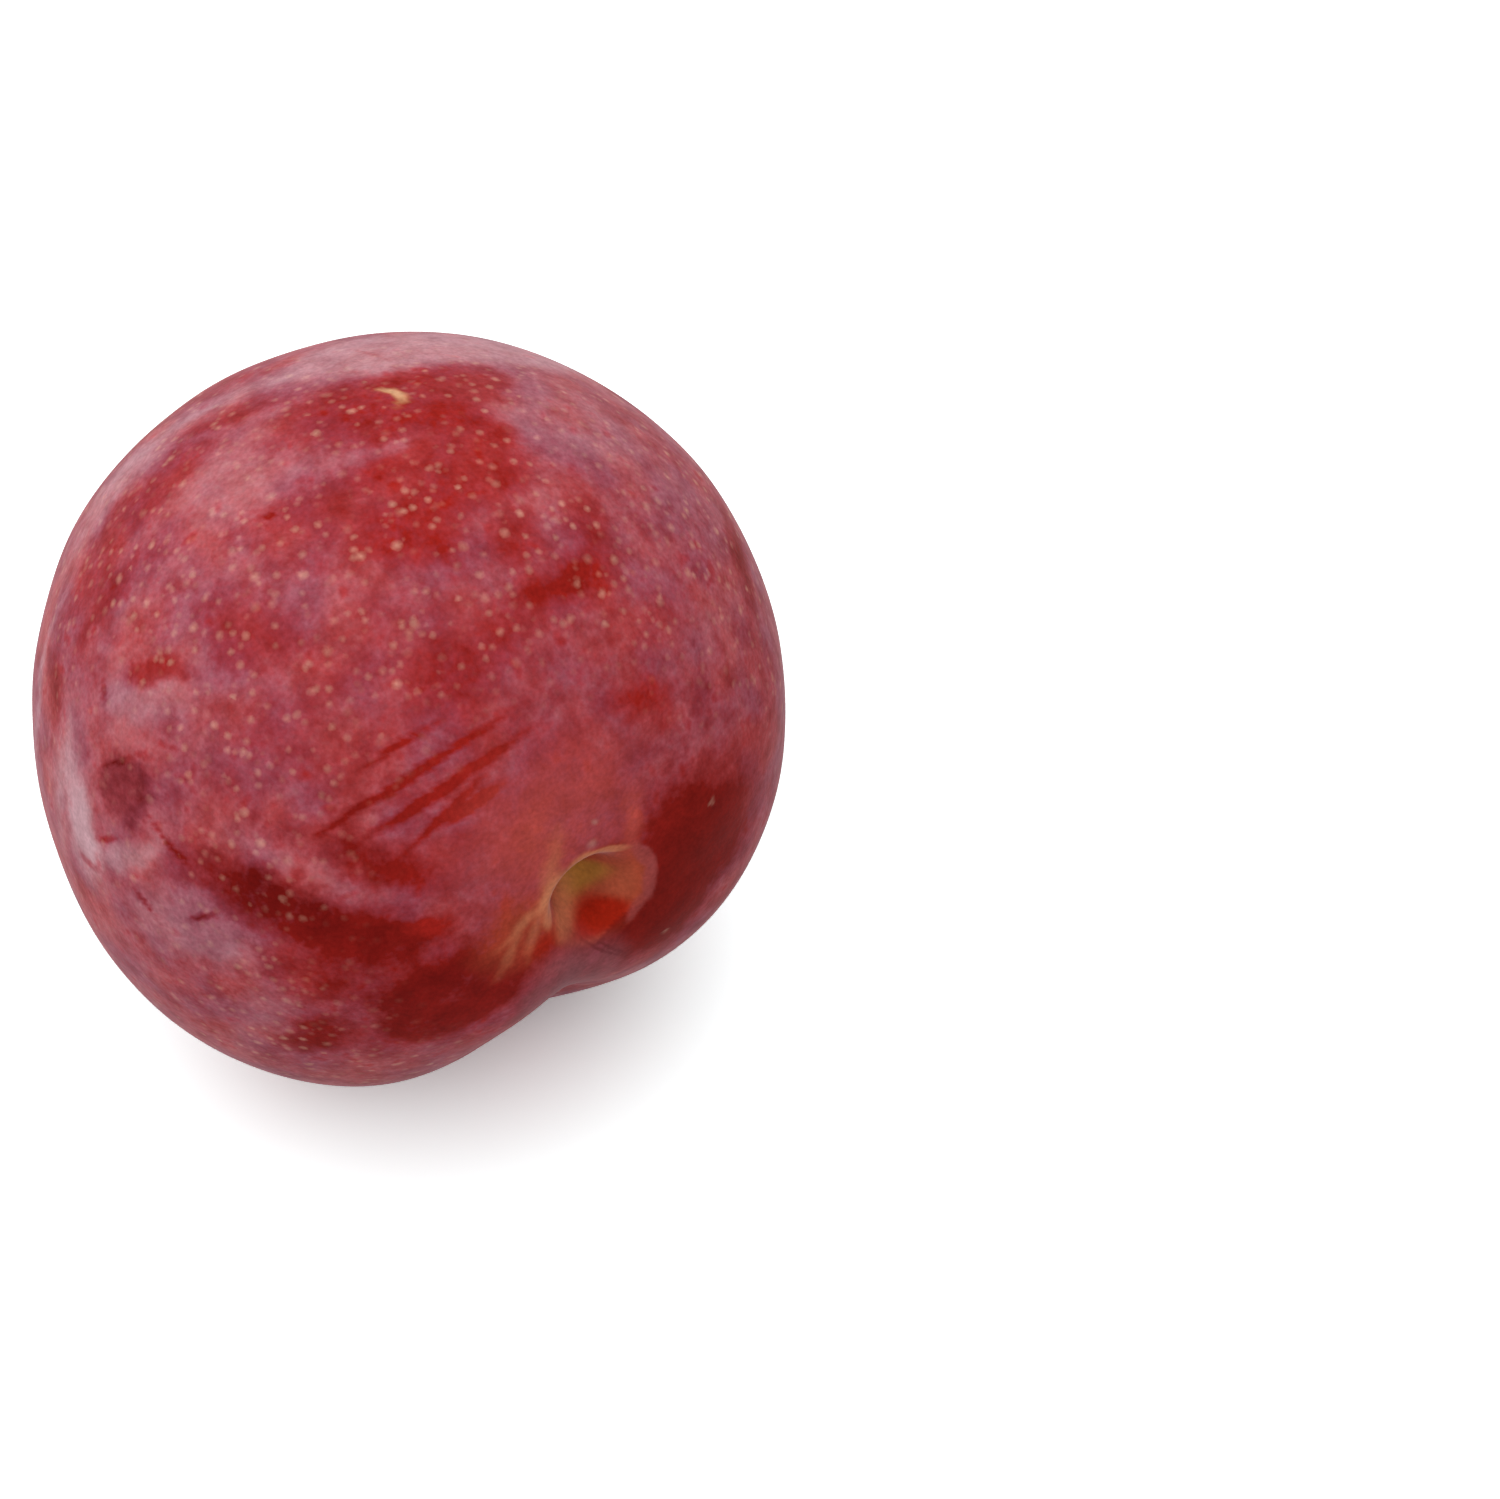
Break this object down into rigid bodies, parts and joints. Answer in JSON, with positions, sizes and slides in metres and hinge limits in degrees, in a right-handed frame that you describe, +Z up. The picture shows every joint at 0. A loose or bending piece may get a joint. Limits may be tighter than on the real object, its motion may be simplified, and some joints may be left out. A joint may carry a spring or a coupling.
{
  "type": "aprium",
  "caption": "Whole aprium fruit lying on its side: nearly round, with a funnel-shaped stem cavity, a suture groove beneath it and a small flat spot to rest on.",
  "frame": {"origin": "middle of the fruit's outer box on the surface that it rests on", "axes": "+Z up; the stem end faces -Y and points 11 degrees above level; +X is towards the fuller cheek; the suture faces down"},
  "size_m": [0.0602, 0.0574, 0.0591],
  "materials": {
    "skin": "thin red plum skin with a pale waxy bloom, rubbed shiny in patches, and many small tan lenticel dots"
  },
  "bodies": {
    "root": {"aprium": "skin"}
  },
  "joints": []
}
